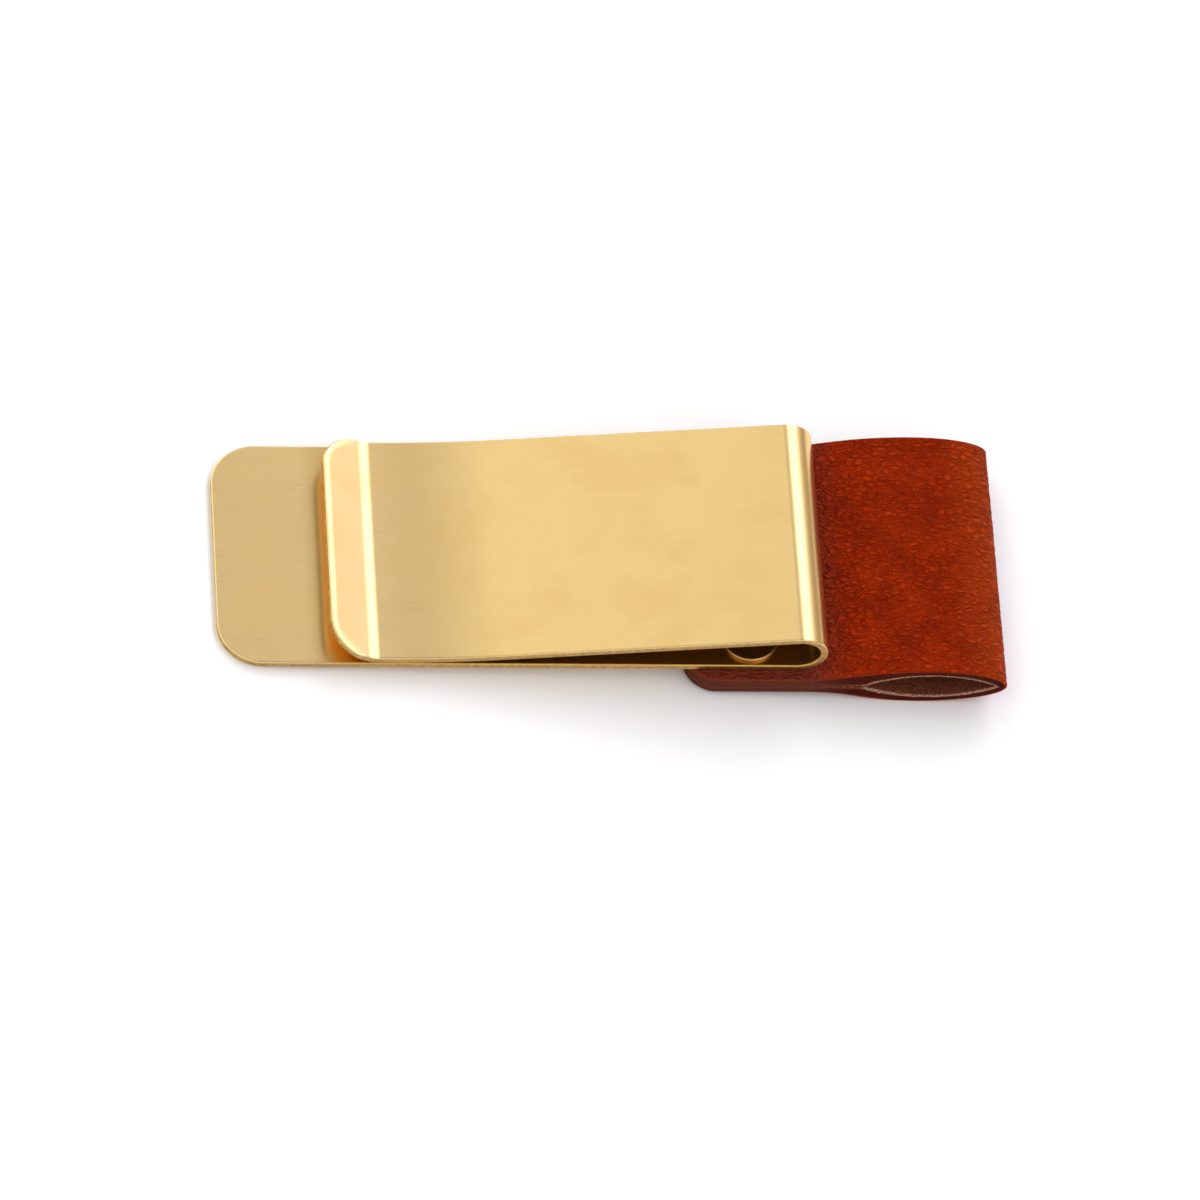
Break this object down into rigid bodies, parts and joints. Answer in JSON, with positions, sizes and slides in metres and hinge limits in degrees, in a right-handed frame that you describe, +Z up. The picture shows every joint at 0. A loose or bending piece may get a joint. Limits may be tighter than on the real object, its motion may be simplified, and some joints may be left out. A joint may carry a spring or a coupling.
{
  "type": "money clip",
  "caption": "Folded brass spring clip with a flared lip and round-cornered leaves, with a leather pen loop riveted under the back leaf; the front leaf springs open.",
  "frame": {"origin": "bottom centre of the bounding box, on the table that the clip lies on", "axes": "+X along the clip from the free leaf ends towards the leather loop, +Y across the strip, +Z up from the table, front leaf on top"},
  "size_m": [0.0622, 0.0218, 0.0071],
  "materials": {
    "brass": "fine brushed satin",
    "leather": "red-brown pebbled grain, raw flesh side and cut edges",
    "rivet": "satin"
  },
  "bodies": {
    "clip_back": {"back_leaf": "brass", "fold_spring": "brass", "pen_loop": "leather", "rivet_post_near": "rivet", "rivet_post_far": "rivet", "rivet_cap_near": "rivet", "rivet_cap_far": "rivet"},
    "clip_front": {"front_leaf": "brass"}
  },
  "joints": [
    {"name": "leaf_spring", "type": "hinge", "parent": "clip_back", "child": "clip_front", "pos_m": [0.01413, 0, 0.00484], "axis": [0, 1, 0], "range_deg": [0, 8], "stiffness_Nm_per_rad": 1.5, "deforming": ["fold_spring"]}
  ]
}
